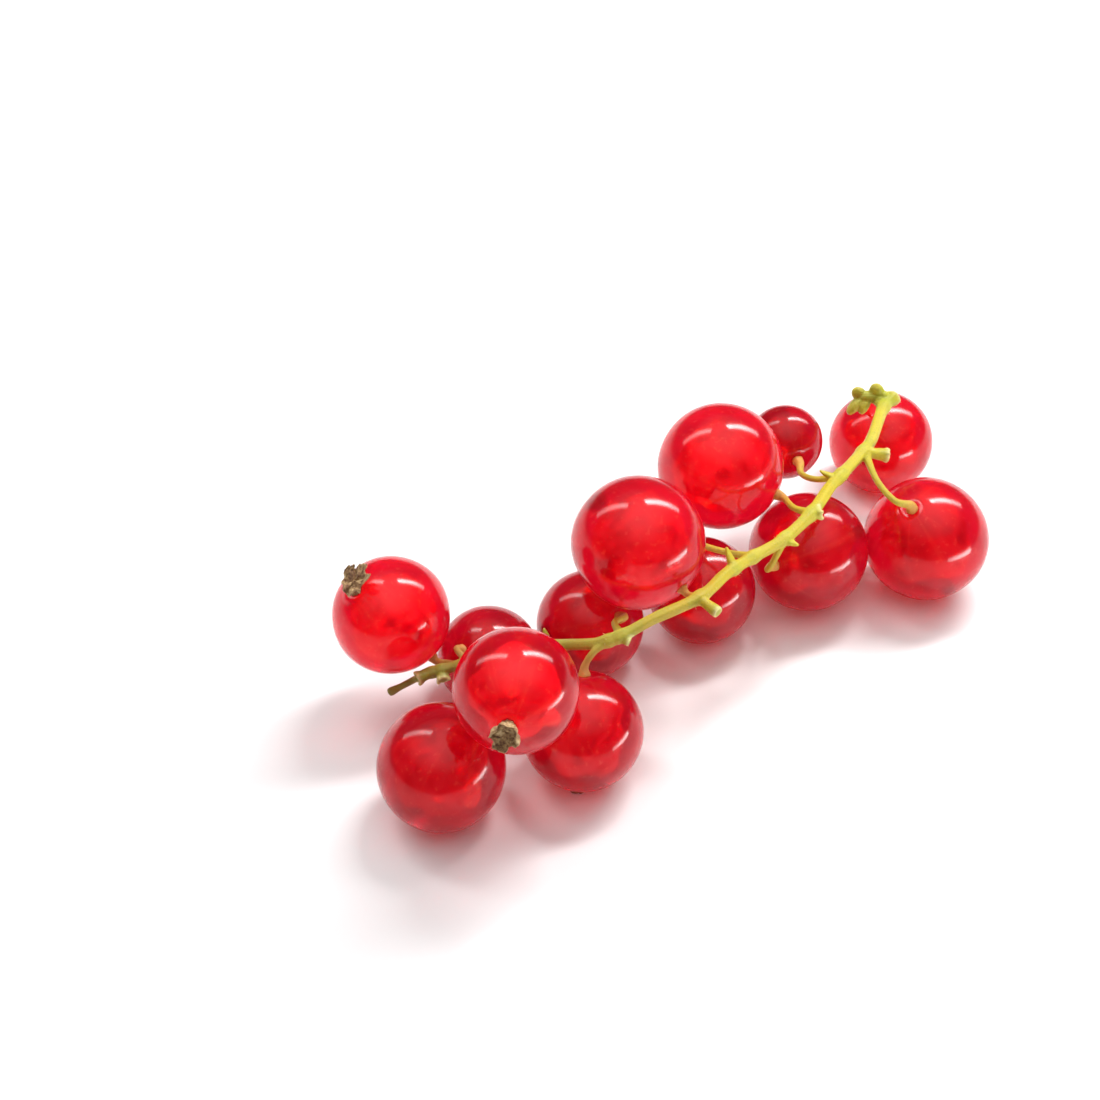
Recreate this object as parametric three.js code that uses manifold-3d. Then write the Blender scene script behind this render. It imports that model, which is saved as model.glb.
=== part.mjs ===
// A sprig of redcurrants lying on a table: one green stem with thirteen berries on short stalks.
// Millimetres, +Z up. The stem runs along X with its cut end at +X, and the low berries rest on z = 0.
import * as THREE from "three";
import { mergeVertices } from "three/addons/utils/BufferGeometryUtils.js";
import Module from "manifold-3d";

const wasm = await Module();
wasm.setup();

// Main stem: the way it runs from the cut end to the dried tip, and its thickness
const STEM_ROUTE = [
  [24.3, 3.2, 11.6],
  [22.7, 2.6, 11.6],
  [18.2, -0.6, 11.5],
  [15.2, -1.9, 11.5],
  [11.7, -3.3, 11.5],
  [7.9, -5.2, 11.5],
  [4.3, -6.1, 11.1],
  [1.5, -6.3, 11.0],
  [-1.7, -7.1, 11.4],
  [-5.4, -8.5, 11.8],
  [-9.3, -8.1, 11.3],
  [-11.9, -7.6, 10.5],
  [-13.3, -6.9, 10.0],
  [-15.6, -4.6, 9.1],
  [-18.2, -2.6, 7.8],
  [-21.0, -0.3, 6.5],
  [-23.4, 1.2, 5.6],
];
const STEM_RADIUS_CUT_END = 0.52;
const STEM_RADIUS_TIP = 0.4;
const CUT_END_FLARE = 0.24;
const CUT_END_FLARE_LENGTH = 1.1;
const JOINT_SWELLING = 0.14;
const JOINT_LENGTH = 0.6;
const STEM_STEP = 0.75;
const STEM_SIDES = 8;

// Berry stalks
const STALK_RADIUS = 0.27;
const STALK_FLARE_RADIUS = 0.48;
const STALK_NECK_RADIUS = 0.38;
const STALK_FOOT_RADIUS = 0.4;
const STALK_APPROACH = 0.7;
const STALK_STEPS = 10;
const STALK_SIDES = 7;

// Berries
const BERRY_SIDES = 18;
const BERRY_RINGS = 11;
const DIMPLE_RADIUS = 0.62;
const DIMPLE_SHOULDER = 1.35;
const DIMPLE_DEPTH = 0.2;
const RESTING_SPOT_RADIUS = 1.2;
const STALK_GAP = 0.06;

// Dried flower at the far end of a berry
const CALYX_RADIUS = 0.62;
const CALYX_LENGTH = 1.2;
// The cup's outline: shares of CALYX_RADIUS and of CALYX_LENGTH, from its foot over the rim to its well
const CALYX_OUTLINE = [
  [0, 0],
  [1, 0],
  [0.75, 0.4],
  [1.4, 1],
  [0, 0.6],
];
const SEPALS = 5;
const SEPAL_LENGTH = 0.9;
const SEPAL_SPREAD = 0.3;
const SEPAL_NOTCH = 0.2;
const CALYX_GAP = 0.06;
const TABLE_GAP = 0.03;

// A stub of a lost stalk and a scale: shares of their own radius and length, from foot to end
const STUB_OUTLINE = [
  [0, 0],
  [0.9, 0],
  [0.85, 0.6],
  [1, 0.9],
  [0.8, 1],
  [0, 1],
];
const SCALE_OUTLINE = [
  [1, 0],
  [0.75, 0.5],
  [0, 1],
];
const SCALE_ROOT = 0.1;
const SCALE_SIDES = 6;
const SIDE_STALK_STEPS = 8;

// Colours from the photograph, and how rough each finish is
const STEM_COLOUR = "#c3cf4e";
const BERRY_COLOUR = "#c8101f";
const CALYX_COLOUR = "#6b4a2a";
const STEM_ROUGHNESS = 0.6;
const BERRY_ROUGHNESS = 0.15;
const CALYX_ROUGHNESS = 0.85;

// One entry a berry, from the cut end to the tip. joint is where its stalk leaves the stem, in mm along
// the stem, and via the places where the stalk bends. place is the berry's centre as [x, y], with its
// height where it lies on others instead of resting on the table. stalkEnd and flower are the ways its two
// ends face: [heading from +X, rise] in degrees. A berry that has grown bent has them not quite opposite.
const BERRIES = [
  {
    joint: 1.8,
    via: [[23.2, 5.0, 11.1]],
    place: [26.5, 5.8],
    diameter: 9.2,
    stalkEnd: [149, 62],
    flower: [-31, -62],
  },
  {
    joint: 8.4,
    via: [[15.8, -4.5, 10.9], [15.6, -6.8, 10.6]],
    place: [19.8, -7.0],
    diameter: 10.2,
    stalkEnd: [-177, 60],
    flower: [3, -60],
  },
  {
    joint: 12.4,
    via: [[12.3, -1.2, 10.6], [12.3, 0.8, 9.9]],
    place: [14.4, 5.4, 9.5],
    diameter: 6.3,
    stalkEnd: [-110, 4],
    flower: [63, -19],
  },
  {
    joint: 18.3,
    via: [[8.0, -3.4, 10.9]],
    place: [6.3, 4.0, 11.1],
    diameter: 10.3,
    stalkEnd: [-60, -13],
    flower: [91, -13],
  },
  {
    joint: 21.9,
    via: [[4.3, -5.6, 8.8], [4.5, -4.8, 7.2]],
    place: [10.7, -2.8],
    diameter: 9.8,
    stalkEnd: [-168, 16],
    flower: [12, -16],
  },
  {
    joint: 25.2,
    via: [[1.0, -3.9, 9.9], [0.3, -2.0, 9.5]],
    place: [0.8, -1.3],
    diameter: 8.7,
    stalkEnd: [106, 76],
    flower: [-74, -75],
  },
  {
    joint: 32.3,
    via: [],
    place: [-6.4, -2.1, 13.0],
    diameter: 10.1,
    stalkEnd: [-81, -18],
    flower: [81, -10],
  },
  {
    joint: 39.0,
    via: [[-10.6, -5.2, 9.3]],
    place: [-8.9, 0.4],
    diameter: 8.5,
    stalkEnd: [-80, 41],
    flower: [100, -41],
  },
  {
    joint: 40.0,
    via: [[-14.0, -7.3, 9.7]],
    place: [-16.0, -9.1],
    diameter: 8.9,
    stalkEnd: [54, 64],
    flower: [-125, -72],
  },
  {
    joint: 44.6,
    via: [[-17.8, -4.4, 10.6]],
    place: [-22.2, -10.0, 12.6],
    diameter: 8.7,
    stalkEnd: [55, -14],
    flower: [-129, 13],
  },
  {
    joint: 47.5,
    via: [[-20.5, -5.2, 9.2]],
    place: [-26.5, -6.7],
    diameter: 9.3,
    stalkEnd: [3, 58],
    flower: [-172, -72],
  },
  {
    joint: 51.0,
    via: [],
    place: [-17.5, 1.7],
    diameter: 8.0,
    stalkEnd: [-167, 44],
    flower: [13, -44],
  },
  {
    joint: 51.4,
    via: [[-21.4, 0.9, 5.9]],
    place: [-23.7, 5.4, 8.5],
    diameter: 8.9,
    stalkEnd: [-60, -40],
    flower: [175, 54],
  },
];

// Stubs where a berry's stalk has been lost: mm along the stem, the way it points, length and thickness
const STUBS = [
  { joint: 8.6, faces: [-35, -8], length: 2.0, radius: 0.48 },
  { joint: 18.6, faces: [-20, 5], length: 0.9, radius: 0.38 },
  { joint: 32.5, faces: [-80, -5], length: 1.9, radius: 0.48 },
  { joint: 39.2, faces: [-60, -10], length: 0.9, radius: 0.36 },
  { joint: 53.9, faces: [172, -8], length: 1.2, radius: 0.52 },
  { joint: 53.2, faces: [-110, -20], length: 0.9, radius: 0.5 },
];

// Small pointed scales at the joints: mm along the stem, the way they point and length
const SCALES = [
  { joint: 13.0, faces: [148, 16], length: 1.7 },
  { joint: 21.9, faces: [-60, -20], length: 1.2 },
  { joint: 27.5, faces: [95, 45], length: 1.7 },
  { joint: 44.5, faces: [100, 60], length: 1.5 },
  { joint: 50.7, faces: [80, 60], length: 1.2 },
];
const SCALE_RADIUS = 0.38;

// Broken stalk with dried scales beside the cut end, and the bare stalk beyond the tip, each measured
// from the place on the stem where it starts
const BROKEN_STALK = [
  [0, 0, 0],
  [-0.5, 1.0, 0.1],
  [-1.3, 1.9, -0.1],
];
const BROKEN_STALK_JOINT = 0.9;
const BROKEN_STALK_RADII = [0.5, 0.5, 0.62, 0.5];
const BROKEN_STALK_SCALES = [
  { along: 0.5, faces: [90, 62], length: 1.6, radius: 0.45 },
  { along: 0.95, faces: [118, 35], length: 1.3, radius: 0.45 },
  { along: 0.95, faces: [180, -33], length: 2.0, radius: 0.5 },
];
const BARE_STALK = [
  [0, 0, 0],
  [-1.0, 0.4, -0.6],
  [-2.6, 0.9, -1.3],
];
const BARE_STALK_RADII = [0.4, 0.27, 0.27, 0.33, 0.3];

// Joining and cutting of closed meshes
function solidOf(geometry) {
  const bare = geometry.index ? geometry.toNonIndexed() : geometry.clone();
  bare.deleteAttribute("normal");
  bare.deleteAttribute("uv");
  const merged = mergeVertices(bare, 1e-4);
  const corners = [];
  const index = merged.index.array;
  for (let i = 0; i < index.length; i += 3) {
    const [a, b, c] = [index[i], index[i + 1], index[i + 2]];
    if (a !== b && b !== c && c !== a) corners.push(a, b, c);
  }
  return new wasm.Manifold(
    new wasm.Mesh({
      numProp: 3,
      vertProperties: new Float32Array(merged.attributes.position.array),
      triVerts: new Uint32Array(corners),
    }),
  );
}

function geometryOf(solid) {
  const mesh = solid.getMesh();
  const places = new Float32Array(mesh.numVert * 3);
  for (let i = 0; i < mesh.numVert; i++) {
    places.set(mesh.vertProperties.subarray(i * mesh.numProp, i * mesh.numProp + 3), i * 3);
  }
  const geometry = new THREE.BufferGeometry();
  geometry.setAttribute("position", new THREE.BufferAttribute(places, 3));
  geometry.setIndex(new THREE.BufferAttribute(new Uint32Array(mesh.triVerts), 1));
  geometry.computeVertexNormals();
  return geometry;
}

// Unit vector from a heading and a rise in degrees
function facing([heading, rise]) {
  const h = THREE.MathUtils.degToRad(heading);
  const r = THREE.MathUtils.degToRad(rise);
  return new THREE.Vector3(Math.cos(r) * Math.cos(h), Math.cos(r) * Math.sin(h), Math.sin(r));
}

// Points of a turned outline from its shares of a radius and a length
function outline(shares, radius, length) {
  return shares.map(([out, up]) => new THREE.Vector2(out * radius, up * length));
}

// A turned shape whose own +Y axis is put along a direction, starting at a place
function placed(geometry, place, direction) {
  const turn = new THREE.Quaternion().setFromUnitVectors(new THREE.Vector3(0, 1, 0), direction);
  return geometry.clone().applyQuaternion(turn).translate(place.x, place.y, place.z);
}

// A round stalk along a curve: a turned profile of the wanted radii, laid along the curve
function stalkAlong(curve, steps, sides, radiusAt) {
  const profile = [new THREE.Vector2(0, 0)];
  for (let i = 0; i <= steps; i++) {
    profile.push(new THREE.Vector2(radiusAt(i / steps), i / steps));
  }
  profile.push(new THREE.Vector2(0, 1));
  const turned = new THREE.LatheGeometry(profile, sides);
  const frames = curve.computeFrenetFrames(steps, false);
  const places = turned.attributes.position;
  for (let i = 0; i < places.count; i++) {
    const step = Math.round(places.getY(i) * steps);
    const point = curve.getPointAt(step / steps);
    point.addScaledVector(frames.normals[step], places.getZ(i));
    point.addScaledVector(frames.binormals[step], places.getX(i));
    places.setXYZ(i, point.x, point.y, point.z);
  }
  return solidOf(turned);
}

// Linear run through a short list of radii
function through(radii) {
  return (t) => {
    const place = t * (radii.length - 1);
    const low = Math.min(Math.floor(place), radii.length - 2);
    return THREE.MathUtils.lerp(radii[low], radii[low + 1], place - low);
  };
}

const stemCurve = new THREE.CatmullRomCurve3(STEM_ROUTE.map((p) => new THREE.Vector3(...p)));
stemCurve.arcLengthDivisions = 2000;
const stemLength = stemCurve.getLength();

function stemPoint(joint) {
  return stemCurve.getPointAt(Math.min(joint / stemLength, 1));
}

// Centre, radius and end directions of a berry
function measured(berry) {
  const radius = berry.diameter / 2;
  const resting = berry.place.length === 2;
  const height = resting
    ? Math.sqrt(radius * radius - RESTING_SPOT_RADIUS * RESTING_SPOT_RADIUS)
    : berry.place[2];
  return {
    radius,
    resting,
    centre: new THREE.Vector3(berry.place[0], berry.place[1], height),
    stalkEnd: facing(berry.stalkEnd),
    flower: facing(berry.flower),
  };
}

// The space above the table, for trimming what rests on it
const ROOM = 200;
function above(height) {
  return solidOf(new THREE.BoxGeometry(ROOM, ROOM, ROOM).translate(0, 0, ROOM / 2 + height));
}

function berrySolid(berry) {
  const { radius, resting, centre, stalkEnd } = measured(berry);
  const profile = [new THREE.Vector2(0, -radius)];
  const dimpleAngle = Math.asin((DIMPLE_SHOULDER * DIMPLE_RADIUS) / radius);
  for (let i = 1; i <= BERRY_RINGS; i++) {
    const angle = -Math.PI / 2 + (i / BERRY_RINGS) * (Math.PI - dimpleAngle);
    profile.push(new THREE.Vector2(radius * Math.cos(angle), radius * Math.sin(angle)));
  }
  profile.push(new THREE.Vector2(DIMPLE_RADIUS, radius - DIMPLE_DEPTH));
  profile.push(new THREE.Vector2(0, radius - DIMPLE_DEPTH));
  const whole = solidOf(placed(new THREE.LatheGeometry(profile, BERRY_SIDES), centre, stalkEnd));
  return resting ? whole.intersect(above(0)) : whole;
}

// A dried flower: a short waisted cup whose rim stands up in five sepals, flattened where it meets the table
function calyxSolid(berry) {
  const { radius, centre, flower } = measured(berry);
  const cup = new THREE.LatheGeometry(outline(CALYX_OUTLINE, CALYX_RADIUS, CALYX_LENGTH), 2 * SEPALS);
  const places = cup.attributes.position;
  for (let i = 0; i < places.count; i++) {
    if (places.getY(i) < 0.99 * CALYX_LENGTH) continue;
    const [x, y, z] = [places.getX(i), places.getY(i), places.getZ(i)];
    const side = Math.round((Math.atan2(x, z) / Math.PI) * SEPALS);
    const tip = side % 2 === 0;
    const out = 1 + (tip ? SEPAL_SPREAD : -SEPAL_SPREAD);
    places.setXYZ(i, x * out, y + (tip ? SEPAL_LENGTH : -SEPAL_NOTCH), z * out);
  }
  const base = centre.clone().addScaledVector(flower, radius + CALYX_GAP);
  return solidOf(placed(cup, base, flower)).intersect(above(TABLE_GAP));
}

// A berry's stalk: it leaves the stem, bends and meets the bottom of the berry's dimple
function berryStalk(berry) {
  const { radius, centre, stalkEnd } = measured(berry);
  const end = centre.clone().addScaledVector(stalkEnd, radius - DIMPLE_DEPTH + STALK_GAP);
  const curve = new THREE.CatmullRomCurve3([
    stemPoint(berry.joint),
    ...berry.via.map((p) => new THREE.Vector3(...p)),
    end.clone().addScaledVector(stalkEnd, STALK_APPROACH),
    end,
  ]);
  const shaft = [STALK_RADIUS, STALK_RADIUS, STALK_RADIUS];
  const radii = [STALK_FOOT_RADIUS, ...shaft, STALK_NECK_RADIUS, STALK_FLARE_RADIUS];
  return stalkAlong(curve, STALK_STEPS, STALK_SIDES, through(radii));
}

function stub({ joint, faces, length, radius }) {
  const start = stemPoint(joint);
  const direction = facing(faces);
  const turned = new THREE.LatheGeometry(outline(STUB_OUTLINE, radius, length), STALK_SIDES);
  return solidOf(placed(turned, start, direction));
}

function scale(start, faces, length, radius) {
  const profile = [new THREE.Vector2(0, -SCALE_ROOT), ...outline(SCALE_OUTLINE, radius, length)];
  return solidOf(placed(new THREE.LatheGeometry(profile, SCALE_SIDES), start, facing(faces)));
}

// Stem: swollen at every joint, flared at the cut end
function stemSolid() {
  const joints = [...BERRIES, ...STUBS, ...SCALES].map((item) => item.joint);
  const radiusAt = (t) => {
    const along = t * stemLength;
    let radius = THREE.MathUtils.lerp(STEM_RADIUS_CUT_END, STEM_RADIUS_TIP, t);
    radius += CUT_END_FLARE * Math.max(0, 1 - along / CUT_END_FLARE_LENGTH);
    const nearest = Math.min(...joints.map((joint) => Math.abs(joint - along)));
    return radius + JOINT_SWELLING * Math.exp(-((nearest / JOINT_LENGTH) ** 2));
  };
  let stem = stalkAlong(stemCurve, Math.round(stemLength / STEM_STEP), STEM_SIDES, radiusAt);
  for (const berry of BERRIES) stem = stem.add(berryStalk(berry));
  for (const item of STUBS) stem = stem.add(stub(item));
  for (const item of SCALES) {
    stem = stem.add(scale(stemPoint(item.joint), item.faces, item.length, SCALE_RADIUS));
  }
  const brokenFrom = stemPoint(BROKEN_STALK_JOINT);
  const broken = new THREE.CatmullRomCurve3(
    BROKEN_STALK.map((p) => new THREE.Vector3(...p).add(brokenFrom)),
  );
  stem = stem.add(stalkAlong(broken, SIDE_STALK_STEPS, STALK_SIDES, through(BROKEN_STALK_RADII)));
  for (const item of BROKEN_STALK_SCALES) {
    stem = stem.add(scale(broken.getPointAt(item.along), item.faces, item.length, item.radius));
  }
  const bareFrom = stemCurve.getPointAt(1);
  const bare = new THREE.CatmullRomCurve3(
    BARE_STALK.map((p) => new THREE.Vector3(...p).add(bareFrom)),
  );
  return stem.add(stalkAlong(bare, SIDE_STALK_STEPS, STALK_SIDES, through(BARE_STALK_RADII)));
}

function piece(name, solid, colour, roughness) {
  const material = new THREE.MeshStandardMaterial({ color: colour, roughness, metalness: 0 });
  const mesh = new THREE.Mesh(geometryOf(solid), material);
  mesh.name = name;
  return mesh;
}

const sprig = new THREE.Group();
sprig.add(piece("strig_stem", stemSolid(), STEM_COLOUR, STEM_ROUGHNESS));
BERRIES.forEach((berry, i) => {
  const number = String(i + 1).padStart(2, "0");
  sprig.add(piece("berry_" + number, berrySolid(berry), BERRY_COLOUR, BERRY_ROUGHNESS));
  sprig.add(piece("calyx_" + number, calyxSolid(berry), CALYX_COLOUR, CALYX_ROUGHNESS));
});

// The origin is the middle of the sprig's length and width, on the table
const box = new THREE.Box3().setFromObject(sprig);
const middle = box.getCenter(new THREE.Vector3());
sprig.position.set(-middle.x, -middle.y, 0);

const part = new THREE.Group();
part.add(sprig);
export default part;
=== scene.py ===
# %% [markdown]
# A sprig of redcurrants on a white table.
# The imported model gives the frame: where each berry sits, and with the berries where the stem runs.
# Everything seen is then built finer in the same place: berries with skin, pulp and seeds, shrivelled
# flowers, and a grown stem with its joints, scales and hairs.

# %% Load the frame
import math

import bpy
import numpy as np
from mathutils import Matrix, Vector


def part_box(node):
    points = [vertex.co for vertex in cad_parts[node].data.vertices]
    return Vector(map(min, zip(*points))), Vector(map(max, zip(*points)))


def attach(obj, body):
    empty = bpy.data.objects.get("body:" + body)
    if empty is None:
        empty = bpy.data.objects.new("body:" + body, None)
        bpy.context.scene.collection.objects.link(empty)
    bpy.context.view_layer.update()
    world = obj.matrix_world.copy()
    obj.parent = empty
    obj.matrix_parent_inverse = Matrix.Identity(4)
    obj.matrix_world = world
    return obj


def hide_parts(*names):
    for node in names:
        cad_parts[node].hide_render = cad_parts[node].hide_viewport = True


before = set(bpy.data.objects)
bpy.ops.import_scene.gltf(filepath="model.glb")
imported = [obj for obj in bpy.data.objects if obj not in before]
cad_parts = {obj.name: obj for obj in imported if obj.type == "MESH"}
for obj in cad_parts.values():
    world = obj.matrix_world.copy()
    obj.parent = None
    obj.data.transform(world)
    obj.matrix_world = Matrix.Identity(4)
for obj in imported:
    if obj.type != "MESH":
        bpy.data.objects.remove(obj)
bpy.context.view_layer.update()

MM = 0.001


# %% [markdown]
# The camera comes first. The sprig is seen from in front of its flank and from 40 degrees above the table,
# through a long lens, so the far berries are only a little smaller than the near ones. The point that it
# looks at is on the table, behind the sprig's middle and to its left, which puts the sprig low and to the
# right.

# %% Camera
LOOK_AT = Vector((-3.95, 15.93, 0.0)) * MM
VIEW_HEADING = math.radians(57)
VIEW_RISE = math.radians(40)
VIEW_DISTANCE = 137 * MM
LENS_PER_WIDTH = 1565 / 1100
SENSOR = 36.0

view_line = Vector((
    math.cos(VIEW_RISE) * math.cos(VIEW_HEADING),
    math.cos(VIEW_RISE) * math.sin(VIEW_HEADING),
    -math.sin(VIEW_RISE),
))
lens = bpy.data.cameras.new("camera")
lens.sensor_width = SENSOR
lens.lens = SENSOR * LENS_PER_WIDTH
lens.clip_start = 0.005
lens.clip_end = 20
camera = bpy.data.objects.new("camera", lens)
camera.location = LOOK_AT - view_line * VIEW_DISTANCE
camera.rotation_euler = view_line.to_track_quat("-Z", "Y").to_euler()
bpy.context.scene.collection.objects.link(camera)
bpy.context.scene.camera = camera
print("camera stands", round(camera.location.z / MM), "mm above the table")

# %% [markdown]
# Shader maths reads best as ordinary expressions. One small class wraps a socket, so that `1 - mask` or
# `veins * 0.3` adds the Math nodes. Any other node is added by one function, with its settings and with a
# value or a link for each input, and the same function serves the geometry, the room and the lights later.

# %% Shader helpers


def join(tree, value, socket):
    """Gives a socket a value, or links it to the socket or wire that feeds it."""
    if isinstance(value, Wire):
        value = value.socket
    if isinstance(value, bpy.types.NodeSocket):
        tree.links.new(value, socket)
    else:
        socket.default_value = value


def add_node(tree, kind, settings=None, values=None):
    """A node with its settings, and with a value or a link for each input that is named."""
    made = tree.nodes.new(kind)
    for key, value in (settings or {}).items():
        setattr(made, key, value)
    for key, value in (values or {}).items():
        join(tree, value, made.inputs[key])
    return made


def grey(value):
    return (value, value, value, 1)


def set_stops(ramp, stops):
    """Puts stops of (place, colour) on a ramp."""
    while len(ramp.elements) < len(stops):
        ramp.elements.new(0.5)
    for element, (place, colour) in zip(ramp.elements, stops):
        element.position = place
        element.color = colour if len(colour) == 4 else (*colour, 1)


class Wire:
    """An output socket that takes part in Python expressions."""

    def __init__(self, sheet, socket):
        self.sheet = sheet
        self.socket = socket

    def _math(self, operation, *values):
        return self.sheet.node("ShaderNodeMath", {"operation": operation}, dict(enumerate(values)))

    def __add__(self, other):
        return self._math("ADD", self, other)

    __radd__ = __add__

    def __sub__(self, other):
        return self._math("SUBTRACT", self, other)

    def __rsub__(self, other):
        return self._math("SUBTRACT", other, self)

    def __mul__(self, other):
        return self._math("MULTIPLY", self, other)

    __rmul__ = __mul__

    def __pow__(self, other):
        return self._math("POWER", self, other)

    def clamped(self, low=0.0, high=1.0):
        return self._math("MINIMUM", self._math("MAXIMUM", self, low), high)


class Sheet:
    """A material's node tree, with its shader ready."""

    def __init__(self, name):
        self.material = bpy.data.materials.new(name)
        self.material.use_nodes = True
        self.tree = self.material.node_tree
        self.shader = self.tree.nodes["Principled BSDF"]

    def node(self, kind, settings=None, values=None, output=0):
        return Wire(self, add_node(self.tree, kind, settings, values).outputs[output])

    def set(self, **values):
        """Values or wires for the shader's own sockets: base_color=..., coat_weight=..."""
        for key, value in values.items():
            label = key.replace("_", " ").title().replace("Ior", "IOR")
            join(self.tree, value, self.shader.inputs[label])

    def position(self):
        return self.node("ShaderNodeTexCoord", output="Object")

    def attribute(self, name, output="Fac"):
        return self.node("ShaderNodeAttribute", {"attribute_name": name}, output=output)

    def noise(self, size, detail=2.0, roughness=0.5, distortion=0.0, at=None):
        """Noise whose lumps are about the given size across, in the units of its coordinates."""
        return self.node("ShaderNodeTexNoise", None, {
            "Vector": at or self.position(),
            "Scale": 1 / size,
            "Detail": detail,
            "Roughness": roughness,
            "Distortion": distortion,
        }, output="Fac")

    def ramp(self, value, *stops):
        made = add_node(self.tree, "ShaderNodeValToRGB", None, {"Fac": value})
        set_stops(made.color_ramp, stops)
        return Wire(self, made.outputs["Color"])

    def mix(self, factor, first, second):
        """Between two colours."""
        def colour(value):
            return value if isinstance(value, Wire) or len(value) == 4 else (*value, 1)
        return self.node("ShaderNodeMix", {"data_type": "RGBA"}, {
            0: factor, 6: colour(first), 7: colour(second),
        }, output=2)

    def bump(self, height, distance_mm, strength=1.0):
        return self.node("ShaderNodeBump", None, {
            "Strength": strength, "Distance": distance_mm * MM, "Height": height,
        }, output="Normal")


def srgb(code):
    """A colour code as linear values."""
    parts = [int(code[i:i + 2], 16) / 255 for i in (1, 3, 5)]
    return tuple(v / 12.92 if v <= 0.04045 else ((v + 0.055) / 1.055) ** 2.4 for v in parts)


# %% [markdown]
# Every berry is a ball between two ends: the stalk enters a small dimple at one end, and the dried flower
# stands on a faint ring of skin at the other. The ends' directions are those of the solids, and the centre
# is read from each berry's box. A berry that rests on the table is flat under its lowest point.

# %% Where the berries are
STALK_ENDS = [
    (149, 62), (-177, 60), (-110, 4), (-60, -13), (-168, 16), (106, 76), (-81, -18),
    (-80, 41), (54, 64), (55, -14), (3, 58), (-167, 44), (-60, -40),
]
FLOWER_ENDS = [
    (-31, -62), (3, -60), (63, -19), (91, -13), (12, -16), (-74, -75), (81, -10),
    (100, -41), (-125, -72), (-129, 13), (-172, -72), (13, -44), (175, 54),
]
DIAMETERS = [9.2, 10.2, 6.3, 10.3, 9.8, 8.7, 10.1, 8.5, 8.9, 8.7, 9.3, 8.0, 8.9]
RIPENESS = [0.15, 0.22, 0.42, 0.04, 0.36, 0.42, 0.1, 0.45, 0.22, 0.03, 0.36, 0.5, 0.0]
RESTING_SPOT = 1.2 * MM


def facing(heading_rise):
    """Unit vector from a heading and a rise in degrees."""
    heading, rise = (math.radians(v) for v in heading_rise)
    return Vector((math.cos(rise) * math.cos(heading), math.cos(rise) * math.sin(heading), math.sin(rise)))


berries = []
measures = zip(STALK_ENDS, FLOWER_ENDS, DIAMETERS, RIPENESS)
for number, (stalk_end, flower_end, diameter, ripeness) in enumerate(measures, 1):
    low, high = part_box(f"berry_{number:02d}")
    middle = (low + high) / 2
    r = diameter / 2 * MM
    rests = low.z < 0.05 * MM
    if rests:
        middle.z = math.sqrt(r * r - RESTING_SPOT * RESTING_SPOT)
    berries.append({
        "name": f"{number:02d}",
        "number": number,
        "stalk": facing(stalk_end),
        "flower": facing(flower_end),
        "r": r,
        "ripeness": ripeness,
        "centre": middle,
        "rests": rests,
    })
print("resting on the table:", [berry["name"] for berry in berries if berry["rests"]])

# %% [markdown]
# A few small helpers make every piece in the same way: a mesh from points and faces, numbers kept on its
# points for the materials to read, seeded waves that take the stiffness out of a round form, and a globe.

# %% Mesh helpers


def mesh_object(name, points, faces):
    """A plain smooth-shaded mesh object at the origin."""
    mesh = bpy.data.meshes.new(name)
    mesh.from_pydata([tuple(p) for p in points], [], faces)
    mesh.update()
    mesh.shade_smooth()
    made = bpy.data.objects.new(name, mesh)
    bpy.context.scene.collection.objects.link(made)
    return made


def baked(source, name):
    """The evaluated mesh of an object as a plain object, in place of the first one."""
    evaluated = source.evaluated_get(bpy.context.evaluated_depsgraph_get())
    mesh = bpy.data.meshes.new_from_object(evaluated)
    bpy.data.objects.remove(source)
    mesh.name = name
    made = bpy.data.objects.new(name, mesh)
    bpy.context.scene.collection.objects.link(made)
    return made


def points_of(mesh):
    flat = np.empty(len(mesh.vertices) * 3)
    mesh.vertices.foreach_get("co", flat)
    return flat.reshape(-1, 3)


def store(mesh, name, values):
    """Keeps one number a point, for the materials to read."""
    layer = mesh.attributes.new(name, "FLOAT", "POINT")
    layer.data.foreach_set("value", values.astype(np.float32))


def store_vectors(mesh, name, values):
    """Keeps one vector a point, for the materials to read."""
    layer = mesh.attributes.new(name, "FLOAT_VECTOR", "POINT")
    layer.data.foreach_set("vector", values.astype(np.float32).ravel())


def unit(vectors):
    return vectors / np.linalg.norm(vectors, axis=-1, keepdims=True)


def waves(points, size, seed):
    """Smooth noise between about -1 and 1, from a few seeded waves of about the given size."""
    seeded = np.random.default_rng(seed)
    total = np.zeros(len(points))
    for _ in range(7):
        wave = seeded.normal(size=3)
        wave *= seeded.uniform(0.7, 1.6) * 2 * math.pi / (size * np.linalg.norm(wave))
        total += np.sin(points @ wave + seeded.uniform(0, 2 * math.pi))
    return total / 3.5


def globe(rings, sides):
    """Directions of a globe, pole to pole along +Z, with its faces."""
    directions = [(0.0, 0.0, 1.0)]
    for i in range(1, rings):
        polar = math.pi * i / rings
        for j in range(sides):
            around = 2 * math.pi * j / sides
            out = math.sin(polar)
            directions.append((out * math.cos(around), out * math.sin(around), math.cos(polar)))
    directions.append((0.0, 0.0, -1.0))
    last = len(directions) - 1
    faces = []
    for j in range(sides):
        k = (j + 1) % sides
        faces.append((0, 1 + j, 1 + k))
        for i in range(rings - 2):
            a, b = 1 + i * sides, 1 + (i + 1) * sides
            faces.append((a + j, b + j, b + k, a + k))
        faces.append((last, 1 + (rings - 2) * sides + k, 1 + (rings - 2) * sides + j))
    return np.array(directions), faces


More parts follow.
